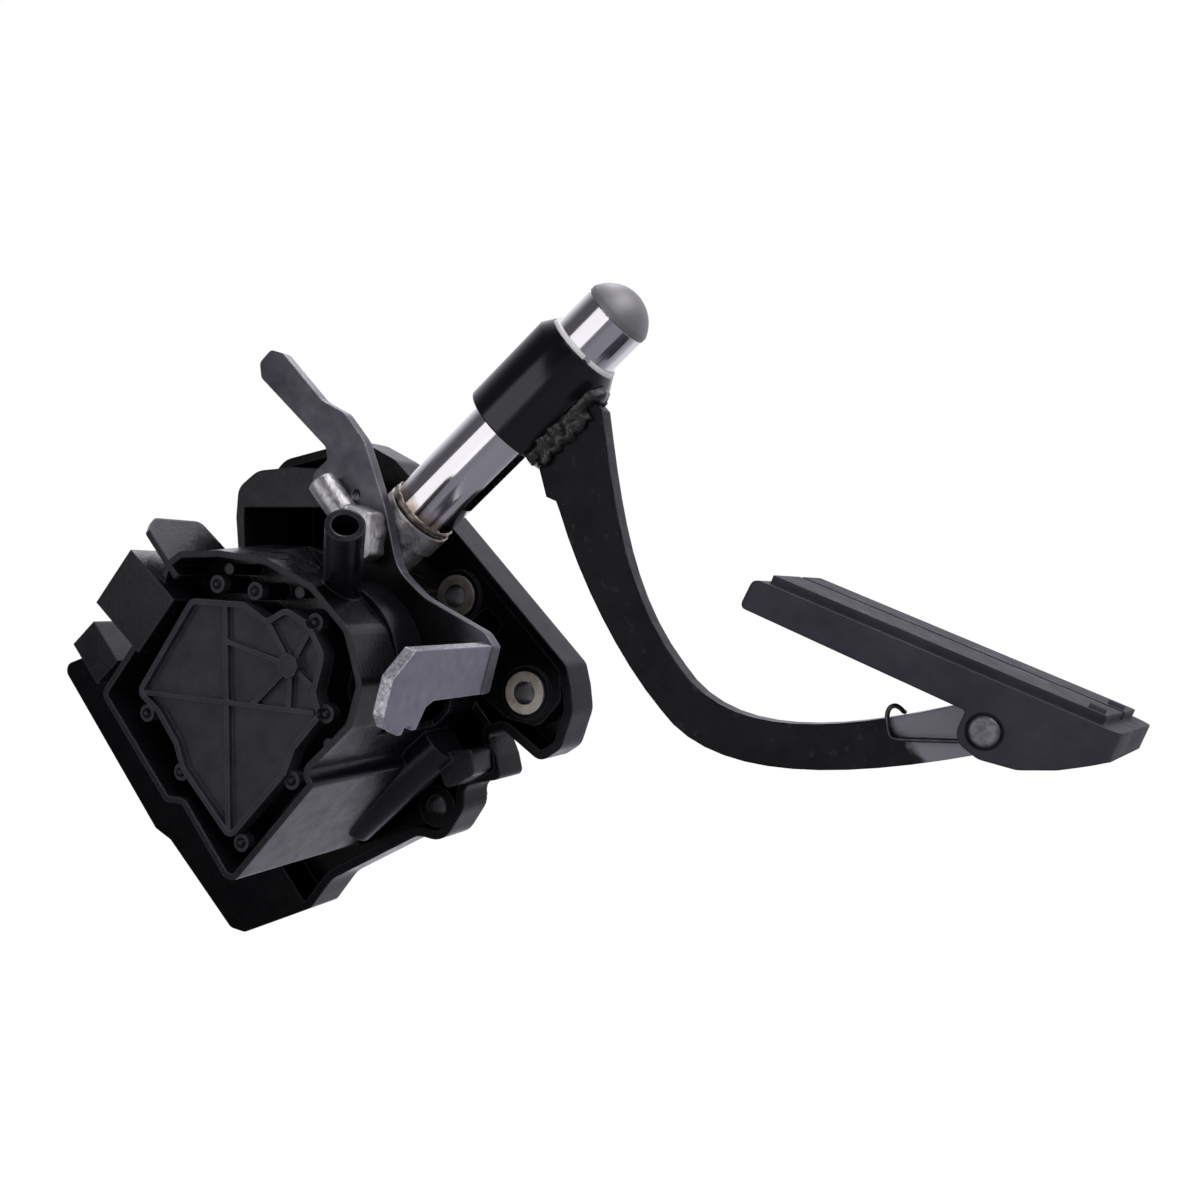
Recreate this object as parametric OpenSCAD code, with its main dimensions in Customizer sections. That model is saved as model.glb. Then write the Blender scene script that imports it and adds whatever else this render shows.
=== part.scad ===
// Accelerator pedal with power-adjustable reach.
// X runs rearward along the guide tube, Y across the car and Z up.
// Shapes are drawn in the tube's frame: its axis is Y = 0 and Z = 0.
// at_mount() then moves them so that the origin is midway between the
// two flange bolts, on the mounting face.

/* [Mounting] */
// Distance between the two flange bolts
bolt_pitch = 37.5; // [34:0.5:42]
// Outside diameter of the steel compression sleeves
sleeve_od = 12.8; // [11:0.1:14]
// Bolt clearance in the sleeves
bolt_d = 6.6; // [5.5:0.1:7]
// Mounting face, measured from the tube axis
mount_y = 30; // [28:0.5:34]
// Flange bolts, measured along the tube
mount_x = -31.5; // [-34:0.5:-29]

/* [Pivot] */
// Pivot axis, measured along the tube
pivot_x = -56; // [-58:0.5:-54]
// Pivot axis, measured from the tube axis
pivot_z = -25; // [-27:0.5:-24]
// Pivot shaft diameter
shaft_d = 10; // [8:0.5:11]
// Outside radius of the drum
drum_r = 23.3; // [22:0.1:24]

/* [Guide tube] */
// Outside diameter of the chrome tube
tube_d = 20; // [18:0.5:20]
// Wall of the chrome tube
tube_wall = 2.2; // [2:0.1:2.4]
// Length of the chrome tube
tube_len = 80; // [76:1:86]
// Width of the slot along the underside
slot_w = 5; // [4:0.5:6]
// Length of the slot along the underside
slot_len = 56; // [54:1:64]

/* [Sliding sleeve] */
// From the tube's surface to the outside of the black sleeve
collar_wall = 3.5; // [3:0.1:4]
// Length of the black sleeve
collar_len = 31.5; // [30:0.5:36]
// Where the sleeve starts along the tube
collar_x = 19.5; // [16:0.5:20]
// How far the white bush stands out of the sleeve
bush_lip = 1.2; // [0.8:0.1:2]

/* [Lever] */
// Thickness of the lever plate
plate_t = 3.5; // [3:0.5:4]
// How far the tab stands out toward the cover side
tab_len = 45; // [36:1:46]

/* [Arm and pad] */
// Thickness of the pedal arm
arm_t = 5.5; // [5:0.5:7]
// Width of the pad
pad_w = 53; // [50:1:56]
// Length of the pad above the hinge pin
pad_up = 63; // [58:0.5:66]
// Length of the pad below the hinge pin
pad_down = 31.5; // [30:0.5:36]
// Diameter of the hinge pin
pin_d = 5.5; // [5:0.5:6]
// Angle of the pad from the tube axis
pad_angle = 62.2; // [60:0.2:66]

/* [Housing] */
// Wall thickness of the moulded housing
wall = 1.8; // [1.6:0.1:2.4]
// How far the housing reaches in front of the tube axis
rim_reach = 45; // [44:0.5:47]
// Depth of the flange
flange_depth = 14; // [12:0.5:15]

/* [Hidden] */
$fn = 64;

// Planes across the car, measured from the tube axis
mount_z = -39.5;
plate_front = -14.5;
plate_back = plate_front + plate_t;
rim_y = -rim_reach;
case_floor = rim_y + 15;
floor_t = 2.5;
drum_front = case_floor + 3;
flange_front = mount_y - flange_depth;
cover_front = rim_y + 3;
cover_back = cover_front + 2.5;

// The tube and what slides on it
tube_x = -16;
tube_end = tube_x + tube_len;
tube_bore = tube_d - 2 * tube_wall;
collar_d = tube_d + 2 * collar_wall;
collar_end = collar_x + collar_len;
bush_d = tube_d + 2.2;
bush_len = 9;
bush_bore = tube_d + 0.1;
screw_d = 8;
nut_x = collar_x + 8;
nut_len = 18;

// The hinge pin of the pad
pin_x = 73.6;
pin_z = -147;

// The housing's outlines, each point as x, z and the corner's radius
rim_outline = [
    [-114, 10.5, 3], [-94, 14, 2], [-78, 20, 3], [-71, 24, 1.5], [-65, 23, 3], [-54, 14, 6],
    [-43, 2, 8], [-35.5, -14, 8], [-34, -30, 6], [-40, -44, 6], [-50, -50.5, 4],
    [-69, -51, 2], [-69, -55, 1.5], [-108, -59.5, 3], [-110, -56, 3],
    [-109.5, -32, 2], [-114, -28, 2]
];
cover_outline = [
    [-104, 3, 3], [-71, 11, 4], [-57, -2, 2], [-54, -10.5, 2], [-47, -12, 4],
    [-43.5, -20, 5], [-45, -30, 5], [-54, -36, 3], [-56, -42, 3], [-69, -43.5, 2],
    [-76, -47, 2], [-103, -49.5, 3], [-104.5, -24, 2], [-102, -17, 2], [-101.5, -6, 2]
];
flange_outline = [
    [-176, 66, 3], [-166, 62, 3], [-140, 50, 4], [-112, 38, 4], [-86, 36, 4],
    [-72, 54, 6], [-54, 56, 8], [-28, 41, 6], [-22, 27, 8], [-20, 2, 6], [-16, -60, 4],
    [-19, -66, 3], [-23, -72, 6], [-33, -78, 5], [-41, -77, 4], [-45, -62, 2],
    [-50, -60, 1], [-52, -67, 1], [-55, -73, 2], [-68, -66, 4], [-70, -72, 6],
    [-84, -76, 7], [-90, -69, 6], [-126, -61, 8], [-139, -63.5, 3], [-167, -54.5, 3],
    [-171, -50, 3], [-174, -12, 3], [-177, -5, 3]
];

// Points that round a polygon's corners, from a list of [x, y, radius]
function unit(v) = v / norm(v);
function corner(a, b, c) =
    let (
        p = [b[0], b[1]],
        u = unit([a[0], a[1]] - p),
        v = unit([c[0], c[1]] - p),
        half = acos(u * v) / 2,
        back = b[2] / tan(half),
        mid = p + unit(u + v) * b[2] / sin(half),
        start = p + u * back - mid,
        stop = p + v * back - mid,
        from = atan2(start[1], start[0]),
        turn = atan2(stop[1], stop[0]) - from,
        sweep = turn > 180 ? turn - 360 : (turn < -180 ? turn + 360 : turn),
        steps = max(2, ceil(abs(sweep) / 15))
    )
    [for (i = [0:steps]) mid + b[2] * [cos(from + sweep * i / steps), sin(from + sweep * i / steps)]];
function rounded(pts) =
    let (n = len(pts))
    [for (i = [0:n - 1]) each corner(pts[(i + n - 1) % n], pts[i], pts[(i + 1) % n])];

// The same list moved inward by t, for an outline drawn clockwise
function cross_z(p, q) = p[0] * q[1] - p[1] * q[0];
function inset_corner(a, b, c, t) =
    let (
        p = [b[0], b[1]],
        u = unit([a[0], a[1]] - p),
        v = unit([c[0], c[1]] - p),
        side = cross_z(u, v) > 0 ? 1 : -1,
        q = p + unit(u + v) * side * t / sin(acos(u * v) / 2)
    )
    [q[0], q[1], max(0.4, b[2] - side * t)];
function inset(pts, t) =
    let (n = len(pts))
    [for (i = [0:n - 1]) inset_corner(pts[(i + n - 1) % n], pts[i], pts[(i + 1) % n], t)];

// Points along a cubic curve
function curve(a, b, c, d, steps) =
    [for (i = [0:steps]) let (t = i / steps, s = 1 - t)
        s * s * s * a + 3 * s * s * t * b + 3 * s * t * t * c + t * t * t * d];

// The sensor board stands on four posts
board_y = case_floor - 4;
board_t = 1.6;
board_posts = [[-94, -6], [-74, 0], [-68, -34], [-94, -38]];

module at_mount() {
    translate([-mount_x, -mount_y, -mount_z])
        children();
}

// Extrudes an outline drawn in X and Z from y0 to y1
module across(y0, y1) {
    translate([0, y1, 0])
        rotate([90, 0, 0])
            linear_extrude(y1 - y0)
                children();
}

module pin_across(x, z, d, y0, y1) {
    translate([x, y0, z])
        rotate([-90, 0, 0])
            cylinder(d = d, h = y1 - y0);
}

module bar_along(x0, x1, d) {
    translate([x0, 0, 0])
        rotate([0, 90, 0])
            cylinder(d = d, h = x1 - x0);
}

module outline(pts) {
    polygon(rounded(pts));
}

// A wall of the given thickness inside an outline
module wall_ring(pts, t) {
    difference() {
        outline(pts);
        outline(inset(pts, t));
    }
}

// A wire swept along a path, its rings kept from twisting
function heading(path, i) =
    unit(path[min(i + 1, len(path) - 1)] - path[max(i - 1, 0)]);
function square_to(v, t) = unit(v - (v * t) * t);
function ring_axes(path) =
    [for (i = 0, n = square_to([0.3, 0.9, 0.2], heading(path, 0)); i < len(path);
          i = i + 1, n = square_to(n, heading(path, min(i, len(path) - 1)))) n];

module wire(path, d, sides = 10) {
    axes = ring_axes(path);
    rings = len(path);
    points = [for (i = [0:rings - 1], k = [0:sides - 1])
        let (n = axes[i], b = cross(heading(path, i), n), a = 360 * k / sides)
            path[i] + d / 2 * (cos(a) * n + sin(a) * b)];
    sleeve = [for (i = [0:rings - 2], k = [0:sides - 1])
        let (j = (k + 1) % sides)
            [i * sides + j, i * sides + k, (i + 1) * sides + k, (i + 1) * sides + j]];
    polyhedron(points, concat(
        [[for (k = [0:sides - 1]) k]],
        sleeve,
        [[for (k = [0:sides - 1]) rings * sides - 1 - k]]
    ));
}

// The moulded housing
bolt_zs = [mount_z - bolt_pitch / 2, mount_z + bolt_pitch / 2];
ear_x = -79;
ear_z = -66;
boss_d = 16;
land_outline = [
    [-49, 12, 3], [-26, 34, 4], [-22, 26, 6], [-20.5, 2, 6], [-17.5, -58, 4], [-24, -67, 4],
    [-35, -68.5, 4], [-42, -60, 3], [-46, -44, 2], [-46, -20, 3]
];
land_pocket = [[-42, -29.5, 2], [-26, -29.5, 2], [-25, -37.5, 2], [-36, -39, 2]];
bulge_y = 4;
bulge_block = [[-62, -57, 1], [-51, -63, 1.5], [-55, -69.5, 2], [-66, -67, 2]];
flange_skin = 3.5;
gap_front = drum_front - 0.5;
gap_back = plate_back + 1;
gap_r = drum_r + 1.2;

module flange() {
    difference() {
        union() {
            across(mount_y - flange_skin, mount_y)
                outline(flange_outline);
            across(flange_front, mount_y)
                wall_ring(flange_outline, 2.8);
            // The left half is a solid step nearer the viewer
            across(flange_front, mount_y)
                intersection() {
                    outline(flange_outline);
                    translate([-180, -70])
                        square([40, 140]);
                }
            // The bolts stand in a solid land, with a channel left round its foot
            difference() {
                across(flange_front + 0.4, mount_y)
                    outline(land_outline);
                across(flange_front - 1, mount_y - 6)
                    outline(land_pocket);
            }
            for (z = bolt_zs)
                pin_across(mount_x, z, boss_d, flange_front - 0.8, mount_y);
            pin_across(ear_x, ear_z, 13, flange_front + 0.3, mount_y);
            across(bulge_y, mount_y)
                outline(bulge_block);
            flange_ribs();
        }
        for (z = bolt_zs)
            pin_across(mount_x, z, sleeve_od, 0, mount_y + 1);
        pin_across(ear_x, ear_z, bolt_d, 0, mount_y + 1);
    }
}

// Ribs that tie the bolt bosses to the flange's edge
module flange_ribs() {
    rib_front = flange_front + 1;
    translate([-50, rib_front, -60])
        cube([2.2, mount_y - rib_front, 78]);
    translate([-140, rib_front, -30])
        cube([90, mount_y - rib_front, 2.2]);
    translate([-112, rib_front, -58])
        cube([2.2, mount_y - rib_front, 92]);
}

// The skirt that stands round the sensor case
module skirt() {
    across(rim_y, flange_front + 4)
        wall_ring(rim_outline, wall);
    across(case_floor, case_floor + floor_t)
        difference() {
            outline(rim_outline);
            translate([pivot_x, pivot_z])
                circle(d = 13);
        }
    for (p = stake_spots)
        pin_across(p[0], p[1], ear_d, cover_back, case_floor + 1);
    for (p = post_spots)
        pin_across(p[0], p[1], 3.2, cover_front, case_floor + 1);
}

// Below the skirt a half-round bulge runs along, behind a groove
module bulge() {
    translate([-100, 6, -54.5])
        rotate([0, 90, 0])
            cylinder(r = 7.4, h = 42);
}

// Room for the drum and the lever, open at the right
module drum_gap() {
    gap = gap_back - gap_front;
    pin_across(pivot_x, pivot_z, 2 * gap_r, gap_front, gap_back);
    translate([pivot_x, gap_front, pivot_z - gap_r])
        cube([60, gap, 2 * gap_r]);
    translate([pivot_x + 6, gap_front, pivot_z])
        cube([60, gap, 60]);
    translate([pivot_x, gap_front, -52])
        cube([60, mount_y, 40]);
}

// The sensor case that the cover closes
module sensor_case() {
    across(cover_back, case_floor + 1)
        wall_ring(cover_outline, 2);
    for (p = board_posts)
        pin_across(p[0], p[1], 4, board_y + board_t, case_floor + 1);
}

// The fixed half of the drum and the boss for the rear bush
module pivot_walls() {
    difference() {
        pin_across(pivot_x, pivot_z, 26, gap_back + 0.5, mount_y - 1);
        pin_across(pivot_x, pivot_z, 13, -20, 2);
        pin_across(pivot_x, pivot_z, shaft_d + 1, -20, 12);
    }
}

// The hood over the adjuster's gears
hood_front = -8;
hood_outer = [
    [-74, 6, 1], [-73.5, 30, 5], [-66.5, 40, 5], [-60, 46.5, 5], [-51, 45.5, 8],
    [-40, 37, 8], [-33, 30, 3], [-33, 24, 1], [-50, 18, 1]
];
hood_inner = [
    [-71, 0, 1], [-70.5, 30, 4], [-64, 38.5, 4], [-59, 43.5, 4], [-51, 42.4, 6],
    [-41, 34, 6], [-30, 24, 1], [-30, 0, 1]
];
hood_skin = 2;

module hood() {
    difference() {
        across(hood_front, mount_y - 1)
            outline(hood_outer);
        across(hood_front - 1, mount_y - 4)
            outline(hood_inner);
    }
    // The upper part of its front is closed along a level edge
    across(hood_front, hood_front + hood_skin)
        intersection() {
            outline(hood_outer);
            polygon([[-84, 59.5], [-33, 14.6], [-20, 40], [-60, 64]]);
        }
}

// The slanted shelf between the rim and the hood
module shelf() {
    difference() {
        hull() {
            across(rim_y + 1, rim_y + 2)
                polygon([[-70, 23], [-65, 22.4], [-54, 13.4], [-43, 1.4], [-46, 0], [-70, 16]]);
            across(hood_front, hood_front + 1)
                polygon([[-75, 32], [-62, 25], [-50, 14], [-46, 7], [-50, 6], [-74, 20]]);
        }
        across(rim_y - 1, case_floor)
            outline(inset(rim_outline, wall));
    }
}

// A threaded boss that leans out of the drum wall
stub_foot = [-41, -28, -15];
stub_tip = [-15, -50, -11];
stub_d = 10.5;
stub_bore_d = 7;

module lean(a, b) {
    step = b - a;
    translate(a)
        rotate([0, acos(step[2] / norm(step)), atan2(step[1], step[0])])
            children();
}

module stub_body() {
    lean(stub_foot, stub_tip)
        cylinder(d = stub_d, h = norm(stub_tip - stub_foot));
}

module stub_bore() {
    lean(stub_foot, stub_tip)
        translate([0, 0, 10])
            cylinder(d = stub_bore_d, h = norm(stub_tip - stub_foot));
}

// The connector shroud, turned a little toward the viewer
shroud_w = 20;
shroud_h = 21.5;
shroud_d = 20;
shroud_lean = -9;

module at_shroud() {
    translate([-93.5, rim_y - 2, 9.5])
        rotate([0, shroud_lean, 0])
            children();
}

module shroud_body() {
    at_shroud()
        cube([shroud_w, shroud_d, shroud_h]);
}

module shroud_socket() {
    at_shroud()
        translate([2, 2, 8])
            cube([shroud_w - 4, shroud_d - 4, shroud_h]);
}

// The locating web that the rim runs up into, beside the connector
web_t = 1.8;

module web() {
    translate([-71.5, 0, 0])
        rotate([90, 0, 90])
            linear_extrude(web_t)
                outline([
                    [rim_y, 18, 1], [rim_y, 35, 2], [rim_y + 5, 40, 4], [rim_y + 24, 40, 3],
                    [rim_y + 30, 20, 1]
                ]);
    translate([-72.7, rim_y + 12, 20])
        cube([web_t + 1.2, 1.6, 19]);
}

module corner_box() {
    translate([-134, -21.5, 28])
        cube([11.5, mount_y + 20.5, 16]);
}

module housing() {
    color("#26262a")
        at_mount()
            difference() {
                union() {
                    difference() {
                        union() {
                            skirt();
                            sensor_case();
                            bulge();
                            shelf();
                            stub_body();
                            web();
                            shroud_body();
                            corner_box();
                        }
                        drum_gap();
                    }
                    flange();
                    pivot_walls();
                    hood();
                }
                stub_bore();
                shroud_socket();
                for (z = bolt_zs)
                    pin_across(mount_x, z, sleeve_od, 0, mount_y + 1);
            }
}

module sensor_cover() {
    color("#35353a")
        at_mount()
            difference() {
                union() {
                    across(cover_front, cover_back)
                        outline(cover_outline);
                    across(rim_y + 1, cover_back)
                        wall_ring(cover_outline, 1.6);
                    across(rim_y + 1.4, cover_back)
                        cover_ribs();
                    for (p = stake_spots)
                        pin_across(p[0], p[1], ear_d, cover_front, cover_back);
                    translate([pivot_x, rim_y, pivot_z])
                        rotate([-90, 0, 0])
                            cylinder(r = 3.4, h = 5, $fn = 8);
                }
                pin_across(pivot_x, pivot_z, 3, cover_front - 1.5, cover_back + 1);
                for (p = stake_spots)
                    pin_across(p[0], p[1], stake_d + 0.6, rim_y, cover_front);
            }
}

// The ribs that cross the cover corner to corner and fan from the hub
module strip(a, b, w) {
    step = b - a;
    translate(a)
        rotate(atan2(step[1], step[0]))
            translate([0, -w / 2])
                square([norm(step), w]);
}

hub = [pivot_x, pivot_z];

module cover_ribs() {
    strip([-102.5, 2], [-58, -39.5], 1.3);
    strip([-63, 2], [-102, -47], 1.5);
    for (tip = [[-54.5, -11.5], [-45.7, -22], [-69.5, -5.5], [-73, -25.2], [-64, -33.6], [-54, -33.5]])
        strip(hub, tip, 1.3);
}

stake_spots = [
    [-62.5, 9], [-53.5, -1], [-43.2, -20.5], [-56, -41.5], [-76.5, -48.5],
    [-101.5, -51.5], [-106.5, -23.6], [-106, -3]
];
post_spots = [[-56.5, 9.5], [-42, -11], [-60.5, -48.2]];
ear_d = 5;
stake_d = 2.8;

module cover_stakes() {
    color("#3c3c42")
        at_mount()
            for (p = stake_spots)
                pin_across(p[0], p[1], stake_d, cover_front - 1.2, cover_front);
}

module mount_sleeves() {
    color("#a39a8c")
        at_mount()
            for (z = bolt_zs)
                difference() {
                    pin_across(mount_x, z, sleeve_od, flange_front - 1.6, mount_y);
                    pin_across(mount_x, z, bolt_d, flange_front - 3, mount_y + 1);
                }
}

module connector_terminals() {
    color("#c8a860")
        at_mount()
            at_shroud()
                for (i = [0:2], k = [0:1])
                    translate([4.8 + i * 4.4, 6 + k * 7, 8])
                        cube([1.5, 0.8, 8]);
}

module circuit_board() {
    color("#2c5a3c")
        at_mount()
            difference() {
                across(board_y, board_y + board_t)
                    outline([[-98, -2, 2], [-72, 4, 2], [-60, -10, 2], [-62, -36, 2], [-98, -42, 2]]);
                pin_across(pivot_x, pivot_z, 15, rim_y, 0);
            }
}

module pivot_bushes() {
    color("#8c7446")
        at_mount()
            for (span = [[case_floor, case_floor + floor_t], [gap_back + 0.5, 2]])
                difference() {
                    pin_across(pivot_x, pivot_z, 13, span[0], span[1]);
                    pin_across(pivot_x, pivot_z, shaft_d + 0.1, span[0] - 1, span[1] + 1);
                }
}

spring_r = 15;
spring_turns = 4;
spring_room = plate_front - drum_front - 4;
spring_wire = spring_room / (0.95 * (spring_turns - 1) + 1);

module return_spring() {
    color("#707074")
        at_mount()
            translate([pivot_x, drum_front + 0.3 + spring_wire / 2, pivot_z])
                rotate([-90, 0, 0])
                    for (i = [0:spring_turns - 1])
                        translate([0, 0, i * spring_wire * 0.95])
                            rotate_extrude()
                                translate([spring_r, 0])
                                    circle(d = spring_wire, $fn = 20);
}

// The pressed steel lever
plate_outline = [
    [-28.5, 62, 2], [-26, 66, 2], [-20.5, 66, 2], [-18, 62, 2], [-16.5, 41, 8], [-13, 33, 5],
    [-13, 22, 10], [-20, 2, 20], [-28, -14, 14], [-26, -26, 14], [-17, -46, 4], [-17.3, -50.9, 1],
    [-28.4, -58.6, 1], [-46, -42, 12], [-56, -40, 3], [-56, -10, 3], [-46, -5, 12],
    [-35, 4, 8], [-34, 27, 3], [-26, 26.5, 1.5], [-24.2, 30, 1.5]
];
tab_top = [-19.3, -47.5];
tab_drop = unit([-0.83, -0.56]);
tab_high = 14;
tab_low = 21;
tab_front = plate_front - tab_len;
tab_root = plate_back - 0.5;

module tab() {
    // The tab's own frame: first axis across the car, second down the tab
    multmatrix([
        [0, tab_drop[0], -tab_drop[1], tab_top[0]],
        [1, 0, 0, 0],
        [0, tab_drop[1], tab_drop[0], tab_top[1]],
        [0, 0, 0, 1]
    ])
        linear_extrude(plate_t)
            polygon([
                [tab_root, 0], [tab_front + 7, 0], [tab_front, 7], [tab_front, 17],
                [tab_front + 3, tab_low - 0.6], [tab_front + 7, tab_low - 0.6],
                [tab_front + 7.8, tab_low + 1.2], [tab_front + 9.6, tab_low + 1.2],
                [tab_front + 10.4, tab_low - 1.2], [tab_front + 13, tab_low - 1.2],
                [tab_front + 13.8, tab_low + 0.4], [tab_front + 15.8, tab_low + 0.4],
                [tab_front + 18, tab_high + 1.5], [tab_front + 21, tab_high], [tab_root, tab_high]
            ]);
}

module lever_plate() {
    color("#6e6e74")
        at_mount()
            difference() {
                union() {
                    across(plate_front, plate_back)
                        outline(plate_outline);
                    pin_across(pivot_x, pivot_z, 40, plate_front, plate_back);
                    tab();
                }
                pin_across(pivot_x, pivot_z, shaft_d, -30, 0);
                pin_across(-25, 12, 3, -30, 0);
                pin_across(-28, 0, 10, -30, 0);
            }
}

module pivot_shaft() {
    color("#a8a8ac")
        at_mount() {
            pin_across(pivot_x, pivot_z, shaft_d, case_floor - 2, 11);
            pin_across(pivot_x, pivot_z, 2.8, cover_front - 1, case_floor);
        }
}

module rotor_drum() {
    color("#2c2c30")
        at_mount()
            difference() {
                pin_across(pivot_x, pivot_z, 2 * drum_r, drum_front, plate_front);
                difference() {
                    pin_across(pivot_x, pivot_z, 2 * drum_r - 6, drum_front - 1, plate_front - 2.5);
                    pin_across(pivot_x, pivot_z, 18, drum_front - 2, plate_front);
                }
                pin_across(pivot_x, pivot_z, shaft_d, drum_front - 1, plate_front + 1);
            }
}

module sensor_magnet() {
    color("#505058")
        at_mount()
            difference() {
                pin_across(pivot_x, pivot_z, 12, case_floor - 5, case_floor - 2);
                pin_across(pivot_x, pivot_z, 2.8, case_floor - 6, case_floor);
            }
}

// The zinc gear housing of the adjuster
spigot_d = tube_d - 4;
ring_d = min(tube_d + 1.6, -2 * plate_back - 0.4);
cable_x = -29.5;
cable_y = -19;

module gear_housing() {
    color("#b4b2ac")
        at_mount()
            difference() {
                union() {
                    bar_along(-37, -25, tube_d - 0.4);
                    bar_along(-25.5, tube_x - 2.4, ring_d);
                    bar_along(-24, tube_x, spigot_d);
                    bar_along(-24, tube_x + 8, tube_bore);
                    pin_across(-28, 0, 10, plate_front - 5, 0);
                    across(plate_front - 7, plate_front)
                        outline([[-33, 8, 2], [-25, 8, 2], [-21, 1, 2], [-29, -8, 2], [-34, -7, 2]]);
                    translate([cable_x, cable_y, 0])
                        cylinder(d = 8.6, h = 20);
                }
                translate([cable_x, cable_y, 6])
                    cylinder(d = 5, h = 20);
                bar_along(-33, 0, screw_d + 0.1);
            }
}

module rod_weld() {
    color("#7a6a58")
        at_mount()
            translate([tube_x, 0, 0])
                rotate([0, 90, 0])
                    rotate_extrude()
                        polygon([[spigot_d / 2, 0], [tube_d / 2 - 0.4, 0], [spigot_d / 2, -2.4]]);
}

module guide_rod() {
    color("#d0d0d4")
        at_mount()
            difference() {
                bar_along(tube_x, tube_end, tube_d);
                bar_along(tube_x - 1, tube_end + 1, tube_bore);
                translate([tube_x + 10, -slot_w / 2, -tube_d])
                    cube([slot_len, slot_w, tube_d]);
            }
}

// The plug's dome is an arc turned about the tube's axis
dome_h = 6;
dome_rim = tube_d / 2 - 0.3;
dome_r = (dome_rim * dome_rim + dome_h * dome_h) / (2 * dome_h);
dome_half = asin(dome_rim / dome_r);

module rod_plug() {
    color("#b0b0ae")
        at_mount()
            translate([tube_end, 0, 0])
                rotate([0, 90, 0])
                    rotate_extrude()
                        polygon(concat(
                            [[0, -6], [tube_bore / 2, -6], [tube_bore / 2, 0],
                             [tube_d / 2, 0], [tube_d / 2, 1.6]],
                            [for (i = [0:10]) let (a = dome_half * (1 - i / 10))
                                [dome_r * sin(a), 2 + dome_h - dome_r * (1 - cos(a))]]
                        ));
}

module lead_screw() {
    color("#8a8a8e")
        at_mount() {
            bar_along(-30, tube_end - 10, screw_d);
            bar_along(tube_x + 9, tube_x + 12, 12);
        }
}

module arm_sleeve() {
    chamfer = 2;
    taper = 3.2;
    color("#1c1c1f")
        at_mount()
            difference() {
                translate([collar_x, 0, 0])
                    rotate([0, 90, 0])
                        rotate_extrude()
                            polygon([
                                [0, 0], [collar_d / 2 - 0.6, 0], [collar_d / 2, 0.6],
                                [collar_d / 2, collar_len - taper],
                                [collar_d / 2 - chamfer, collar_len], [0, collar_len]
                            ]);
                bar_along(collar_x - 1, collar_end + 1, tube_d + 1);
                bar_along(collar_x - 1, collar_x + bush_len, bush_d);
                bar_along(collar_end - bush_len, collar_end + 1, bush_d);
                nut_key();
            }
}

// The key that passes through the tube's slot into the sleeve
module nut_key() {
    translate([nut_x + 4, -slot_w / 2 + 0.1, -12.2])
        cube([nut_len - 8, slot_w - 0.2, 8]);
}

module split_bush(x0, x1) {
    difference() {
        bar_along(x0, x1, bush_d);
        bar_along(x0 - 1, x1 + 1, bush_bore);
        translate([x0 - 1, 0, 0])
            rotate([130, 0, 0])
                translate([0, -1, 0])
                    cube([x1 - x0 + 2, 2, bush_d]);
    }
}

module sleeve_bush_front() {
    color("#eeeeea")
        at_mount()
            split_bush(collar_end - bush_len, collar_end + bush_lip);
}

module sleeve_bush_rear() {
    color("#eeeeea")
        at_mount()
            split_bush(collar_x, collar_x + bush_len);
}

module drive_nut() {
    color("#d8d4c4")
        at_mount()
            difference() {
                union() {
                    bar_along(nut_x, nut_x + nut_len, tube_bore - 0.1);
                    nut_key();
                }
                bar_along(nut_x - 1, nut_x + nut_len + 1, screw_d + 0.1);
            }
}

// The arm's two edges are smooth curves from the sleeve to the pin
arm_outer = concat(
    curve([17.5, -31], [10, -50], [5.5, -74], [6.5, -92], 8),
    curve([6.5, -92], [6, -116], [36, -137], [73, -154], 14)
);
arm_inner = concat(
    curve([73, -140], [42, -126], [16, -110], [18, -86], 14),
    curve([18, -86], [18, -62], [30, -42], [45, -18], 10)
);

module pedal_arm() {
    color("#202024")
        at_mount()
            difference() {
                union() {
                    across(-arm_t / 2, arm_t / 2)
                        polygon(concat(
                            [[45, -6], [21, -6], [21, -16], [17, -25], [18.5, -28]],
                            arm_outer, arm_inner
                        ));
                    pin_across(pin_x, pin_z, 14, -arm_t / 2, arm_t / 2);
                }
                bar_along(collar_x - 1, collar_end + 1, collar_d);
                pin_across(pin_x, pin_z, pin_d, -10, 10);
            }
}

module arm_weld() {
    color("#2a2a2c")
        at_mount()
            difference() {
                for (side = [-1, 1])
                    translate([collar_x + 2, side * 3.6, -collar_d / 2 + 0.4])
                        rotate([0, 90, 0])
                            cylinder(d = 5.4, h = collar_len - 8);
                bar_along(collar_x - 1, collar_end + 1, collar_d);
                across(-arm_t / 2, arm_t / 2)
                    square([200, 100], center = true);
            }
}

head_d = 6.9;
recess_d = 8.4;
pad_half = pad_w / 2;

module pad_pin() {
    color("#5c5c60")
        at_mount() {
            pin_across(pin_x, pin_z, pin_d, -pad_half + 1, pad_half + 0.5);
            pin_across(pin_x, pin_z, head_d, -pad_half - 0.6, -pad_half + 1.2);
        }
}

// The spring is one wire: a leg under the pad, a coil, and a hook over the arm
spring_d = 1.2;
coil_r = 4.3;
coil_y = -11;
coil_pitch = 1.4;
coil_from = 90 - pad_angle;
coil_to = -850;
coil_steps = 40;

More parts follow.
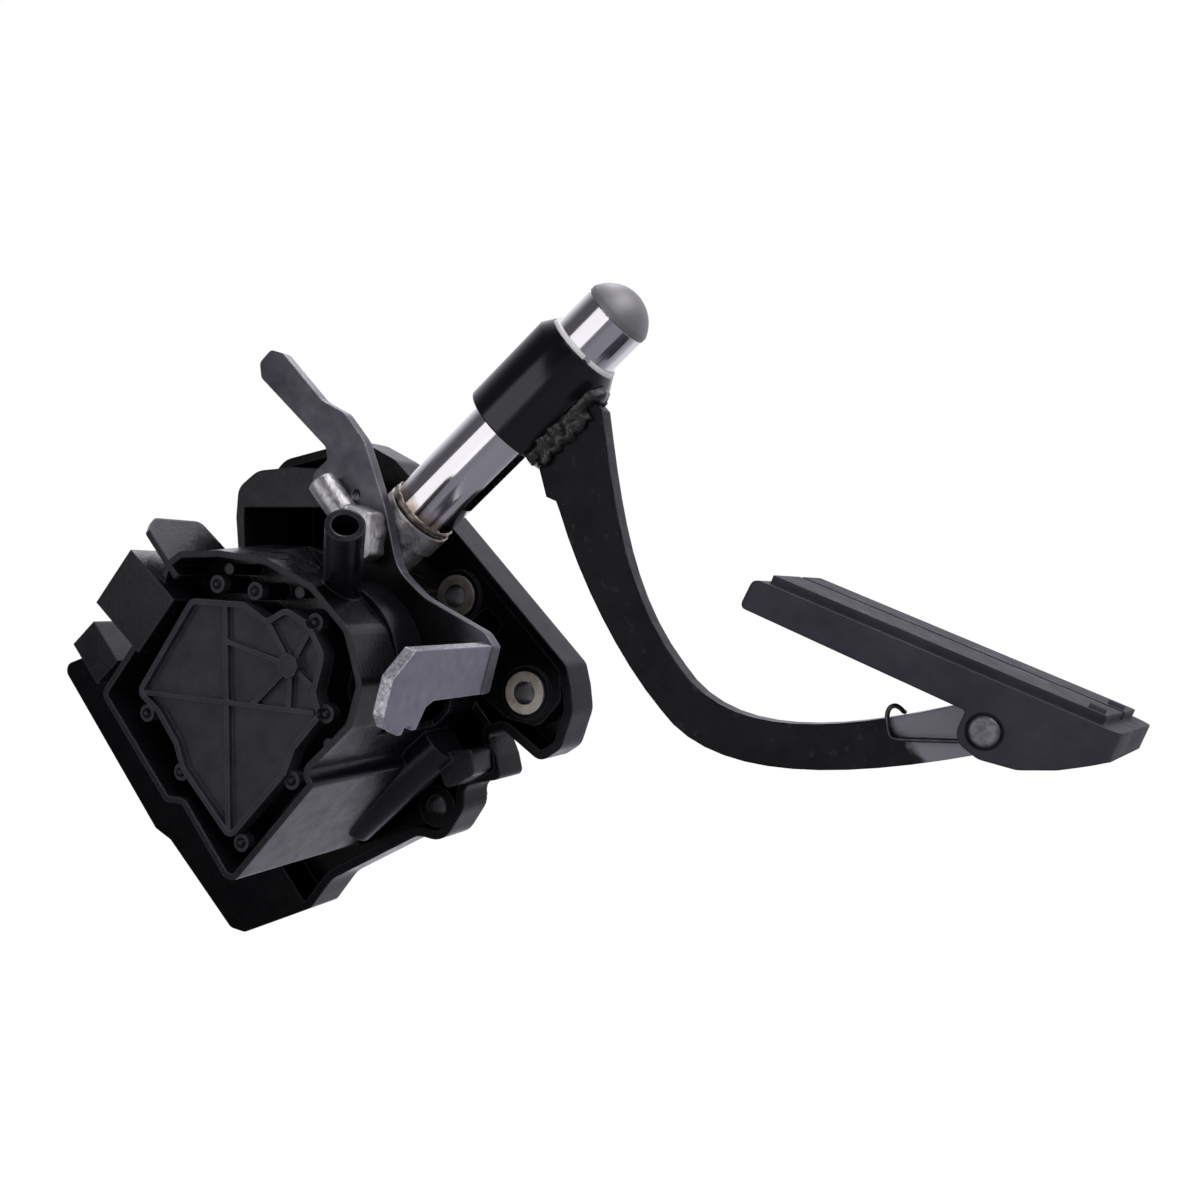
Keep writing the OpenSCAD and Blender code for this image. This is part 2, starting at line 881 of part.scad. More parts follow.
// A place given down the pad's length, out of its face and across
function on_pad(u, w, y) = [
    pin_x + u * cos(pad_angle) + w * sin(pad_angle), y,
    pin_z - u * sin(pad_angle) + w * cos(pad_angle)
];
coil_path = [for (i = [0:coil_steps])
    let (a = coil_from + (coil_to - coil_from) * i / coil_steps)
        [pin_x + coil_r * cos(a), coil_y + coil_pitch * (coil_from - a) / 360,
         pin_z + coil_r * sin(a)]];
spring_path = concat(
    [on_pad(-26, 4, coil_y), on_pad(-17, 4.3, coil_y), on_pad(-8, coil_r, coil_y)],
    coil_path,
    [[60.9, -5.8, -142.6], [53.2, -4.5, -136.6], [51.5, -4.2, -135.1], [51.2, -4.1, -133.9],
     [53, -4, -130.8], [54.4, -3.9, -129.2], [55.8, -3.8, -128.6], [57.1, -3.6, -129.1],
     [57.4, -2.7, -130.5], [57.1, -1.2, -131.3], [56.9, 0.8, -131.4]]
);

module pad_spring() {
    color("#3c3c40")
        at_mount()
            wire(spring_path, spring_d);
}

// The pad's own frame: u runs down its length and w out of its face
module at_pad() {
    translate([pin_x, 0, pin_z])
        rotate([0, pad_angle, 0])
            children();
}

pad_top = 11.2;
ridge_h = 2.1;
pad_outline = [
    [-pad_up - 0.3, 3.5, 1.5], [-pad_up + 0.5, pad_top, 2], [pad_down + 2, pad_top, 2],
    [pad_down + 2, 5.4, 1], [25.5, 4.4, 3], [17, -1.3, 9], [9.5, -4.9, 5], [1, -6.3, 4],
    [-5.6, -4.4, 4], [-5.5, 2.6, 0.6]
];
pad_hollow = [
    [-pad_up + 3, -9, 1], [-pad_up + 3, pad_top - 3.6, 1], [22, pad_top - 3.6, 1],
    [22, -9, 1]
];
// Seen from above, the lower end runs a little askew between rounded corners
end_skew = 6;
pad_plan = [
    [-pad_up - 1, -pad_half, 2.5], [-pad_up - 1, pad_half, 2.5], [pad_down, pad_half, 6],
    [pad_down - end_skew, -pad_half, 5]
];
ridge_edge = 4.5;
ridge_bands = [[-pad_half + ridge_edge, 1.8], [4.2, pad_half - ridge_edge]];

// Extrudes an outline drawn along the pad and across it, from w0 to w1
module above_pad(w0, w1) {
    translate([0, 0, w0])
        linear_extrude(w1 - w0)
            children();
}

module ridges() {
    for (band = ridge_bands) {
        above_pad(pad_top - 1, pad_top + ridge_h)
            intersection() {
                outline(inset(pad_plan, ridge_edge));
                translate([-pad_up, band[0]])
                    square([pad_up + pad_down, band[1] - band[0]]);
            }
        // A short rounded nub stands on the lower end of each ridge
        nub_y = band[0] + 4.4;
        nub_u = pad_down - ridge_edge - end_skew * (0.5 - nub_y / pad_w);
        translate([nub_u - 4.8, nub_y, pad_top + ridge_h - 0.3])
            rotate([0, 90, 0])
                cylinder(d = 2.6, h = 3.8);
    }
}

module pad() {
    color("#38383c")
        at_mount()
            difference() {
                at_pad() {
                    difference() {
                        intersection() {
                            across(-pad_half - 1, pad_half + 1)
                                outline(pad_outline);
                            above_pad(-12, pad_top + 1)
                                outline(pad_plan);
                        }
                        across(-pad_half + 3, pad_half - 3)
                            outline(pad_hollow);
                    }
                    ridges();
                    for (side = [-1, 1])
                        translate([0, side > 0 ? 12 : -pad_half + 0.5, 0])
                            rotate([-90, 0, 0])
                                cylinder(d = 9.6, h = pad_half - 12.5);
                }
                pin_across(pin_x, pin_z, pin_d + 0.1, -pad_half - 1, pad_half + 1);
                pin_across(pin_x, pin_z, recess_d, -pad_half - 1, -pad_half + 1.3);
            }
}

housing();
sensor_cover();
cover_stakes();
mount_sleeves();
connector_terminals();
circuit_board();
pivot_bushes();
return_spring();
lever_plate();
pivot_shaft();
rotor_drum();
sensor_magnet();
gear_housing();
rod_weld();
guide_rod();
rod_plug();
lead_screw();
arm_sleeve();
sleeve_bush_front();
sleeve_bush_rear();
drive_nut();
pedal_arm();
arm_weld();
pad_pin();
pad_spring();
pad();
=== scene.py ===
import math

import bmesh
import bpy
from mathutils import Matrix, Vector


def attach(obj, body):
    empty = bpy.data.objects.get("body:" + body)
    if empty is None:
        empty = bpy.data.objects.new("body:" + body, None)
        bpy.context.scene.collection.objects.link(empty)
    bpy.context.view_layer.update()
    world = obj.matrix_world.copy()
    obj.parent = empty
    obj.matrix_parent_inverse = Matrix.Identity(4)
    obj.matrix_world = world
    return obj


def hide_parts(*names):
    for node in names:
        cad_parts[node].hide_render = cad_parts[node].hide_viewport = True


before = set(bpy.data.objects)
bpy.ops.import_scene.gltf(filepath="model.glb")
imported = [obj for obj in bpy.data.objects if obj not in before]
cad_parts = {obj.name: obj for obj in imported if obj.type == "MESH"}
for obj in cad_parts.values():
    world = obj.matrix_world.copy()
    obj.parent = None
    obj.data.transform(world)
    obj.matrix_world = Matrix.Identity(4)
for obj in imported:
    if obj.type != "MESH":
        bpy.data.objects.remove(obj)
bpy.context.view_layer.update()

# The camera stands low in front of the cover, looks a little up and is rolled
# so that the guide tube climbs to the right, as the photograph was taken.

lens = bpy.data.cameras.new("camera")
lens.sensor_width = 36
lens.lens = 37.5
lens.clip_start = 0.01
camera = bpy.data.objects.new("camera", lens)
camera.matrix_world = Matrix((
    (0.69974, 0.63676, 0.32388, 0.1538),
    (0.42011, -0.00008, -0.90747, -0.3435),
    (-0.57782, 0.77106, -0.26757, -0.1099),
    (0, 0, 0, 1),
))
bpy.context.scene.collection.objects.link(camera)
bpy.context.scene.camera = camera
bpy.context.scene.view_settings.view_transform = "Standard"

# A white sweep of card well below the part, and a white tent round it. The
# card is plain paper, and it keeps the soft shadow of the part.


def tone(code):
    """The linear colour of an sRGB hex value."""
    parts = [int(code[i:i + 2], 16) / 255 for i in (1, 3, 5)]
    return [c / 12.92 if c <= 0.04045 else ((c + 0.055) / 1.055) ** 2.4 for c in parts] + [1]


def add_node(tree, kind, settings=None, links=None):
    """Adds a node with its settings, and fills its inputs with values or links."""
    node = tree.nodes.new(kind)
    for name, value in (settings or {}).items():
        setattr(node, name, value)
    for socket, value in (links or {}).items():
        if isinstance(value, bpy.types.NodeSocket):
            tree.links.new(value, node.inputs[socket])
        else:
            node.inputs[socket].default_value = value
    return node


def blank_tree(owner):
    """The owner's node tree, emptied."""
    owner.use_nodes = True
    owner.node_tree.nodes.clear()
    return owner.node_tree


paper = bpy.data.materials.new("white card")
tree = blank_tree(paper)
seen = add_node(tree, "ShaderNodeLightPath")
# Gloss meets the card greyer under and before the part, which shades it there,
# and bright behind it.
behind = add_node(tree, "ShaderNodeMapRange", {"interpolation_type": "SMOOTHSTEP"}, {
    "Value": add_node(tree, "ShaderNodeSeparateXYZ", links={
        0: add_node(tree, "ShaderNodeTexCoord").outputs["Object"],
    }).outputs[1], "From Min": 0.1, "From Max": 1.1, "To Min": 0.14, "To Max": 0.8,
})
shade = add_node(tree, "ShaderNodeMix", {"data_type": "RGBA"}, {
    0: seen.outputs["Is Glossy Ray"], 6: tone("#e8e8e8"), 7: tone("#77767f"),
})
matte = add_node(tree, "ShaderNodeBsdfDiffuse", links={"Color": shade.outputs[2]})
cool = add_node(tree, "ShaderNodeMix", {"data_type": "RGBA"}, {
    0: seen.outputs["Is Glossy Ray"], 6: tone("#ffffff"), 7: tone("#f4f2ff"),
})
lift = add_node(tree, "ShaderNodeEmission", links={
    "Color": cool.outputs[2],
    "Strength": add_node(tree, "ShaderNodeMath", {"operation": "MULTIPLY_ADD"}, {
        0: seen.outputs["Is Glossy Ray"], 1: behind.outputs[0],
        2: add_node(tree, "ShaderNodeMath", {"operation": "MULTIPLY"}, {
            0: seen.outputs["Is Camera Ray"], 1: 0.8,
        }).outputs[0],
    }).outputs[0],
})
both = add_node(tree, "ShaderNodeAddShader", links={0: matte.outputs[0], 1: lift.outputs[0]})
add_node(tree, "ShaderNodeOutputMaterial", links={"Surface": both.outputs[0]})

card_half, card_z = 6.0, -0.62
floor_mesh = bpy.data.meshes.new("floor")
floor_mesh.from_pydata(
    [(x * card_half, y * card_half, card_z) for x, y in ((-1, -1), (1, -1), (1, 1), (-1, 1))],
    [], [(0, 1, 2, 3)],
)
floor_mesh.materials.append(paper)
floor = bpy.data.objects.new("floor", floor_mesh)
bpy.context.scene.collection.objects.link(floor)

tent = bpy.data.worlds.new("white tent")
bpy.context.scene.world = tent
tree = blank_tree(tent)
seen = add_node(tree, "ShaderNodeLightPath")
# Gloss meets white card behind the part and a dim room in front of it, so that
# black plastic stays black where it faces the camera.
facing = add_node(tree, "ShaderNodeSeparateXYZ", links={
    0: add_node(tree, "ShaderNodeTexCoord").outputs["Generated"],
}).outputs[1]
room = add_node(tree, "ShaderNodeMapRange", {"interpolation_type": "SMOOTHSTEP"}, {
    "Value": facing, "From Min": -0.4, "From Max": 0.8, "To Min": 0.1, "To Max": 1.1,
})
lit = add_node(tree, "ShaderNodeMix", {"data_type": "FLOAT"}, {
    0: seen.outputs["Is Glossy Ray"], 2: 0.34, 3: room.outputs[0],
})
straight = add_node(tree, "ShaderNodeMath", {"operation": "MAXIMUM"}, {
    0: seen.outputs["Is Camera Ray"], 1: seen.outputs["Is Transmission Ray"],
})
level = add_node(tree, "ShaderNodeMix", {"data_type": "FLOAT"}, {
    0: straight.outputs[0], 2: lit.outputs[0], 3: 1.0,
})
cool = add_node(tree, "ShaderNodeMix", {"data_type": "RGBA"}, {
    0: straight.outputs[0], 6: tone("#f6f4ff"), 7: tone("#ffffff"),
})
glow = add_node(tree, "ShaderNodeBackground", links={
    "Color": cool.outputs[2], "Strength": level.outputs[0],
})
add_node(tree, "ShaderNodeOutputWorld", links={"Surface": glow.outputs[0]})

# Four soft boxes: the key stands above and to the right of the camera, the fill
# on its left draws the bright band on the tube, a long strip above and behind
# draws the edges, and a side box on the right lights the lever's tab.

subject = Vector((0.0, -0.02, 0.0))
daylight = (0.96, 0.95, 1.0)
axes = camera.matrix_world.to_3x3()
# Each box's name, its place to the right of, above and toward the camera, its
# width and height in metres, and its watts.
soft_boxes = [
    ("key_box", (0.50, 0.78, 0.42), 0.9, 0.5, 5.4),
    ("fill_box", (-0.66, 0.02, 0.76), 0.9, 0.95, 3.1),
    ("top_strip", (0.10, 0.90, -0.42), 1.0, 0.25, 3.6),
    ("side_box", (0.86, -0.42, 0.42), 0.4, 0.8, 5.0),
]
for name, (across, above, toward), width, height, watts in soft_boxes:
    light = bpy.data.lights.new(name, "AREA")
    light.shape = "RECTANGLE"
    light.size = width
    light.size_y = height
    light.energy = watts
    light.color = daylight
    lamp = bpy.data.objects.new(name, light)
    lamp.location = subject + axes @ Vector((across, above, toward))
    lamp.rotation_euler = (subject - lamp.location).to_track_quat("-Z", "Y").to_euler()
    bpy.context.scene.collection.objects.link(lamp)

# The housing is one moulding of glass-filled nylon, with the flange, the skirt
# round the sensor case and the connector shroud. It comes from the mould black
# with a faint sheen, and its rounded edges are rubbed a little lighter.


def new_finish(name, colour, roughness, metallic=0.0, gloss=0.5):
    """A material with its shader on the output, and the piece's own coordinates."""
    material = bpy.data.materials.new(name)
    tree = blank_tree(material)
    shader = add_node(tree, "ShaderNodeBsdfPrincipled", links={
        "Base Color": tone(colour), "Roughness": roughness, "Metallic": metallic,
        "Specular IOR Level": gloss,
    })
    add_node(tree, "ShaderNodeOutputMaterial", links={"Surface": shader.outputs[0]})
    place = add_node(tree, "ShaderNodeTexCoord").outputs["Object"]
    return material, tree, shader, place


def mottle(tree, place, size_mm, low, high, detail=3.0):
    """Noise with features of that size, spread from low to high."""
    cloud = add_node(tree, "ShaderNodeTexNoise", links={
        "Vector": place, "Scale": 1000 / size_mm, "Detail": detail, "Roughness": 0.6,
    })
    return add_node(tree, "ShaderNodeMapRange", links={
        "Value": cloud.outputs[0], "From Min": 0.3, "From Max": 0.7,
        "To Min": low, "To Max": high,
    }).outputs[0]


def two_tone(tree, shader, factor, colour, other):
    """Blends the base colour between two colours by a factor."""
    blend = add_node(tree, "ShaderNodeMix", {"data_type": "RGBA"}, {
        0: factor, 6: tone(colour), 7: tone(other),
    })
    tree.links.new(blend.outputs[2], shader.inputs["Base Color"])
    return blend.outputs[2]


def soft_edges(tree, shader, radius_mm, height, depth_mm):
    """Rounds the edges in the shading and lays the bump over them."""
    round_off = add_node(tree, "ShaderNodeBevel", {"samples": 4}, {"Radius": radius_mm / 1000})
    bump = add_node(tree, "ShaderNodeBump", links={
        "Height": height, "Distance": depth_mm / 1000, "Strength": 1.0,
        "Normal": round_off.outputs[0],
    })
    tree.links.new(bump.outputs[0], shader.inputs["Normal"])
    return round_off.outputs[0]


def edge_wear(tree, rounded, amount):
    """Rises to the amount where the rounded normal leaves the flat one, at the edges."""
    flat = add_node(tree, "ShaderNodeNewGeometry").outputs["Normal"]
    turn = add_node(tree, "ShaderNodeVectorMath", {"operation": "DOT_PRODUCT"}, {
        0: rounded, 1: flat,
    })
    return add_node(tree, "ShaderNodeMapRange", links={
        "Value": turn.outputs["Value"], "From Min": 0.995, "From Max": 0.88,
        "To Min": 0.0, "To Max": amount,
    }).outputs[0]


def finish(obj, material):
    """Gives the object that one material."""
    obj.data.materials.clear()
    obj.data.materials.append(material)


# Grain of 0.9 mm is coarser than the real mould's, so that it shows at all.
nylon, tree, shader, place = new_finish(
    "glass-filled nylon, moulded", "#100f13", 0.3, gloss=0.3)
rounded_normal = soft_edges(tree, shader, 0.8, mottle(tree, place, 0.9, 0, 1), 0.025)
body = two_tone(tree, shader, mottle(tree, place, 14, 0, 1), "#0b0a0d", "#151418")
# The flange, 14 mm deep at the back, lies in the shade of the skirt. Its face is
# painted near black as painted shade, and its gloss is turned down.
recess_shade_from, recess_shade_full = -0.018, -0.0145
recess_shade_mask = add_node(tree, "ShaderNodeMapRange", {"interpolation_type": "SMOOTHSTEP"}, {
    "Value": add_node(tree, "ShaderNodeSeparateXYZ", links={0: place}).outputs[1],
    "From Min": recess_shade_from, "From Max": recess_shade_full, "To Min": 0.0, "To Max": 1.0,
}).outputs[0]
painted_recess_shade = add_node(tree, "ShaderNodeMix", {"data_type": "RGBA"}, {
    0: recess_shade_mask, 6: body, 7: tone("#060507"),
})
rubbed = add_node(tree, "ShaderNodeMix", {"data_type": "RGBA"}, {
    0: edge_wear(tree, rounded_normal, 0.6), 6: painted_recess_shade.outputs[2], 7: tone("#45444c"),
})
tree.links.new(rubbed.outputs[2], shader.inputs["Base Color"])
tree.links.new(add_node(tree, "ShaderNodeMapRange", links={
    "Value": recess_shade_mask, "To Min": 0.3, "To Max": 0.1,
}).outputs[0], shader.inputs["Specular IOR Level"])
tree.links.new(mottle(tree, place, 6, 0.2, 0.34), shader.inputs["Roughness"])
finish(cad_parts["housing"], nylon)

# The sensor cover is a thin ribbed moulding of PBT, a shade lighter than the
# housing, and the ribs carry dust and rub marks from handling.
pbt, tree, shader, place = new_finish("PBT, moulded", "#25242a", 0.4, gloss=0.22)
rounded_normal = soft_edges(tree, shader, 0.5, mottle(tree, place, 0.8, 0, 1), 0.02)
body = two_tone(tree, shader, mottle(tree, place, 9, 0, 1), "#252428", "#343338")
rubbed = add_node(tree, "ShaderNodeMix", {"data_type": "RGBA"}, {
    0: edge_wear(tree, rounded_normal, 0.6), 6: body, 7: tone("#66656f"),
})
tree.links.new(rubbed.outputs[2], shader.inputs["Base Color"])
tree.links.new(mottle(tree, place, 4, 0.34, 0.52), shader.inputs["Roughness"])
finish(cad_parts["sensor_cover"], pbt)

# Eight stakes of the housing stand through the cover's ears. Heat has spread
# each one to a low dome with a rounded edge.
tube_x, tube_y, tube_z = 31.5, -30.0, 39.5


def at(x, y, z):
    """A place in millimetres from the tube's axis, given in the part's own frame."""
    return Vector(((x + tube_x) / 1000, (y + tube_y) / 1000, (z + tube_z) / 1000))


def plan(name, *named):
    """A Geometry Nodes tree with named inputs. Gives the tree and its inputs."""
    tree = bpy.data.node_groups.new(name, "GeometryNodeTree")
    tree.interface.new_socket("Geometry", in_out="OUTPUT", socket_type="NodeSocketGeometry")
    for label, kind in (("Shape", "Geometry"), ("Finish", "Material")) + named:
        tree.interface.new_socket(label, in_out="INPUT", socket_type="NodeSocket" + kind)
    return tree, add_node(tree, "NodeGroupInput").outputs


def close_plan(tree, given, shape):
    """Ends a tree: its instances are made real and take the finish."""
    real = add_node(tree, "GeometryNodeRealizeInstances", links={"Geometry": shape})
    done = add_node(tree, "GeometryNodeSetMaterial", links={
        "Geometry": real.outputs[0], "Material": given["Finish"],
    })
    add_node(tree, "NodeGroupOutput", links={0: done.outputs[0]})


def bake(piece, sharp):
    """Turns a piece and its modifier into one plain mesh, smooth up to its sharp edges."""
    bpy.context.view_layer.update()
    graph = bpy.context.evaluated_depsgraph_get()
    made = bpy.data.meshes.new_from_object(piece.evaluated_get(graph))
    piece.modifiers.clear()
    piece.data = made
    made.shade_smooth()
    made.set_sharp_from_angle(angle=math.radians(sharp))


def carry(piece, body, replaced):
    """Lets a piece ride on its body and stand for the nodes that it replaces."""
    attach(piece, body)
    if replaced:
        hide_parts(*replaced)
    return piece


def grown(name, tree, values, points, edges, body, *replaced, sharp=35):
    """Runs a tree on a few points and keeps the result as a plain mesh."""
    seed = bpy.data.meshes.new(name)
    seed.from_pydata(points, edges, [])
    piece = bpy.data.objects.new(name, seed)
    bpy.context.scene.collection.objects.link(piece)
    grow = piece.modifiers.new("grow", "NODES")
    grow.node_group = tree
    for item in tree.interface.items_tree:
        if item.item_type == "SOCKET" and item.in_out == "INPUT" and item.name in values:
            grow[item.identifier] = values[item.name]
    bake(piece, sharp)
    return carry(piece, body, replaced)


domes, given = plan("stake heads", ("Radius", "Float"), ("Height", "Float"))
ball = add_node(domes, "GeometryNodeMeshUVSphere", links={
    "Segments": 24, "Rings": 12, "Radius": given["Radius"],
})
flat = add_node(domes, "ShaderNodeCombineXYZ", links={
    0: 1.0, 1: add_node(domes, "ShaderNodeMath", {"operation": "DIVIDE"}, {
        0: given["Height"], 1: given["Radius"],
    }).outputs[0], 2: 1.0,
})
squashed = add_node(domes, "GeometryNodeTransform", links={
    "Geometry": ball.outputs[0], "Scale": flat.outputs[0],
})
spread = add_node(domes, "GeometryNodeInstanceOnPoints", links={
    "Points": given["Shape"], "Instance": squashed.outputs[0],
})
close_plan(domes, given, spread.outputs[0])
stake_y = -42
stake_spots = [(-62.5, 9), (-53.5, -1), (-43.2, -20.5), (-56, -41.5), (-76.5, -48.5),
               (-101.5, -51.5), (-106.5, -23.6), (-106, -3)]
stakes = grown("stake_heads", domes, {"Finish": nylon, "Radius": 0.0014, "Height": 0.0011},
               [at(x, stake_y, z) for x, z in stake_spots], [], "housing_body", "cover_stakes")

# Two compression sleeves of drawn steel tube line the bolt holes. Their zinc
# plate has gone dull and a little brown.
plate, tree, shader, place = new_finish("zinc plate, dulled", "#b5aea2", 0.34, metallic=0.8)
tinted = two_tone(tree, shader, mottle(tree, place, 3, 0, 1), "#a59c8e", "#cbc5ba")
# The bores, 37.5 mm apart, are coloured near black close to their axes.
half_pitch, dark_r, plain_r = 0.01875, 0.0034, 0.0036
split = add_node(tree, "ShaderNodeSeparateXYZ", links={0: place}).outputs
off_axis = add_node(tree, "ShaderNodeMath", {"operation": "SUBTRACT"}, {
    0: add_node(tree, "ShaderNodeMath", {"operation": "ABSOLUTE"}, {0: split[2]}).outputs[0],
    1: half_pitch,
})
from_axis = add_node(tree, "ShaderNodeVectorMath", {"operation": "LENGTH"}, {
    0: add_node(tree, "ShaderNodeCombineXYZ", links={
        0: split[0], 2: off_axis.outputs[0],
    }).outputs[0],
})
bore = add_node(tree, "ShaderNodeMapRange", links={
    "Value": from_axis.outputs["Value"], "From Min": dark_r, "From Max": plain_r,
    "To Min": 1.0, "To Max": 0.0,
})
inside = add_node(tree, "ShaderNodeMix", {"data_type": "RGBA"}, {
    0: bore.outputs[0], 6: tinted, 7: tone("#1d1b19"),
})
tree.links.new(inside.outputs[2], shader.inputs["Base Color"])
tree.links.new(mottle(tree, place, 1.5, 0.26, 0.46), shader.inputs["Roughness"])
soft_edges(tree, shader, 0.3, mottle(tree, place, 0.7, 0, 1), 0.02)
finish(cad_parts["mount_sleeves"], plate)

# The sensor's inside: stamped terminals of tinned brass, pale and bright, a
# circuit board, pressed bushes and magnet, and the return spring, whose coil is
# drawn as four rings.
brass, tree, shader, place = new_finish("brass, tinned", "#c2b183", 0.25, metallic=1.0)
tree.links.new(mottle(tree, place, 1.2, 0.2, 0.38), shader.inputs["Roughness"])
finish(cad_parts["connector_terminals"], brass)

# The resist is a clear green skin over the board's weave.
board, tree, shader, place = new_finish("glass-epoxy board, green resist", "#1f4a30", 0.35)
two_tone(tree, shader, mottle(tree, place, 2.5, 0, 1), "#1a3f29", "#2b5c3d")
finish(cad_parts["circuit_board"], board)

# Sintering leaves the bronze and the ferrite dull and grainy.
bronze, tree, shader, place = new_finish("sintered bronze", "#8a7148", 0.45, metallic=1.0)
two_tone(tree, shader, mottle(tree, place, 0.8, 0, 1), "#6f5a38", "#977d52")
finish(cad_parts["pivot_bushes"], bronze)

ferrite, tree, shader, place = new_finish("sintered ferrite", "#3a3a40", 0.6, metallic=0.2)
two_tone(tree, shader, mottle(tree, place, 0.9, 0, 1), "#303036", "#46464c")
finish(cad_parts["sensor_magnet"], ferrite)

# Phosphate turns the spring wire a dark, even grey.
spring_steel, tree, shader, place = new_finish(
    "spring steel, phosphated", "#4a4a4e", 0.36, metallic=0.9)
two_tone(tree, shader, mottle(tree, place, 2, 0, 1), "#3a3a3e", "#56565c")
finish(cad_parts["return_spring"], spring_steel)

# The lever is blanked from 3.5 mm mild steel and oiled. Its faces are satin
# grey with faint streaks, and the sheared edges shine. Painted shade blackens
# the plate round the pivot, but not the tab.
blanked, tree, shader, place = new_finish("mild steel, blanked", "#66656b", 0.4, metallic=0.75)
streaks = add_node(tree, "ShaderNodeMapping", links={"Vector": place, "Scale": (1, 1, 0.18)})
rounded_normal = soft_edges(
    tree, shader, 0.7, mottle(tree, streaks.outputs[0], 1.2, 0, 1), 0.01)
base = two_tone(tree, shader, mottle(tree, place, 11, 0, 1), "#444348", "#616067")
# Painted shade: the plate's face round the pivot is darkened to near black.
pivot, pivot_shade_from, pivot_shade_to = (-0.0245, 0, 0.0145), 0.034, 0.048
from_pivot = add_node(tree, "ShaderNodeVectorMath", {"operation": "DISTANCE"}, {
    0: add_node(tree, "ShaderNodeVectorMath", {"operation": "MULTIPLY"}, {
        0: place, 1: (1, 0, 1),
    }).outputs[0], 1: pivot,
})
near_pivot = add_node(tree, "ShaderNodeMapRange", {"interpolation_type": "SMOOTHSTEP"}, {
    "Value": add_node(tree, "ShaderNodeMath", {"operation": "ADD"}, {
        0: from_pivot.outputs["Value"], 1: mottle(tree, place, 8, -0.002, 0.002),
    }).outputs[0],
    "From Min": pivot_shade_from, "From Max": pivot_shade_to, "To Min": 1.0, "To Max": 0.0,
})
# The tab begins 0.5 mm in front of the plate's face. A normal's share across the
# car is over face_turn on that face, and its share along the tab's own normal is
# under edge_turn on the tab's sheared edges.
tab_y, tab_normal, face_turn, edge_turn = -0.045, (0.559, 0, -0.829), 0.9, 0.5
on_plate = add_node(tree, "ShaderNodeMath", {"operation": "GREATER_THAN"}, {
    0: add_node(tree, "ShaderNodeSeparateXYZ", links={0: place}).outputs[1], 1: tab_y,
})
on_face = add_node(tree, "ShaderNodeMath", {"operation": "GREATER_THAN"}, {
    0: add_node(tree, "ShaderNodeMath", {"operation": "ABSOLUTE"}, {
        0: add_node(tree, "ShaderNodeSeparateXYZ", links={
            0: add_node(tree, "ShaderNodeNewGeometry").outputs["True Normal"],
        }).outputs[1],
    }).outputs[0], 1: face_turn,
})
painted_pivot_shade = add_node(tree, "ShaderNodeMath", {"operation": "MULTIPLY"}, {
    0: near_pivot.outputs[0],
    1: add_node(tree, "ShaderNodeMath", {"operation": "MULTIPLY"}, {
        0: on_plate.outputs[0], 1: on_face.outputs[0],
    }).outputs[0],
})
dark = add_node(tree, "ShaderNodeMix", {"data_type": "RGBA"}, {
    0: painted_pivot_shade.outputs[0], 6: base, 7: tone("#0b0a0d"),
})
# The tab is painted a lighter grey than the plate, as painted light, and its
# sheared edges, which face away from its own normal, are torn and bright.
sheared = add_node(tree, "ShaderNodeMath", {"operation": "LESS_THAN"}, {
    0: add_node(tree, "ShaderNodeMath", {"operation": "ABSOLUTE"}, {
        0: add_node(tree, "ShaderNodeVectorMath", {"operation": "DOT_PRODUCT"}, {
            0: add_node(tree, "ShaderNodeNewGeometry").outputs["True Normal"],
            1: tab_normal,
        }).outputs["Value"],
    }).outputs[0], 1: edge_turn,
})
torn = add_node(tree, "ShaderNodeMix", {"data_type": "RGBA"}, {
    0: mottle(tree, place, 0.9, 0, 1), 6: tone("#77767c"), 7: tone("#d2d1d5"),
})
tab_with_painted_light = add_node(tree, "ShaderNodeMix", {"data_type": "RGBA"}, {
    0: sheared.outputs[0], 6: tone("#7f7e88"), 7: torn.outputs[2],
})
plate_or_tab = add_node(tree, "ShaderNodeMix", {"data_type": "RGBA"}, {
    0: on_plate.outputs[0], 6: tab_with_painted_light.outputs[2], 7: dark.outputs[2],
})
rim = add_node(tree, "ShaderNodeMix", {"data_type": "RGBA"}, {
    0: edge_wear(tree, rounded_normal, 0.55), 6: plate_or_tab.outputs[2], 7: tone("#b9bbc4"),
})
tree.links.new(rim.outputs[2], shader.inputs["Base Color"])
tree.links.new(mottle(tree, streaks.outputs[0], 3, 0.32, 0.5), shader.inputs["Roughness"])
finish(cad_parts["lever_plate"], blanked)

# The pivot shaft is ground steel, and the drum that it turns is moulded black.
ground, tree, shader, place = new_finish("ground steel", "#a8a8ac", 0.25, metallic=1.0)
tree.links.new(mottle(tree, place, 2, 0.18, 0.34), shader.inputs["Roughness"])
finish(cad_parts["pivot_shaft"], ground)
finish(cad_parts["rotor_drum"], nylon)

# The adjuster's gear housing is a zinc die casting, left as cast: a pale grey
# with a broken, slightly lumpy gloss.
zinc, tree, shader, place = new_finish("zinc, die cast", "#bab9b6", 0.36, metallic=0.9)
two_tone(tree, shader, mottle(tree, place, 5, 0, 1), "#a09e9b", "#d2d1d0")
tree.links.new(mottle(tree, place, 2, 0.26, 0.46), shader.inputs["Roughness"])
soft_edges(tree, shader, 0.7, mottle(tree, place, 1.6, 0, 1), 0.12)
finish(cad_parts["gear_housing"], zinc)

# The guide tube is chromed steel with a slot along its underside. It mirrors the
# card with faint streaks, and welding has left a brown tint at its root.


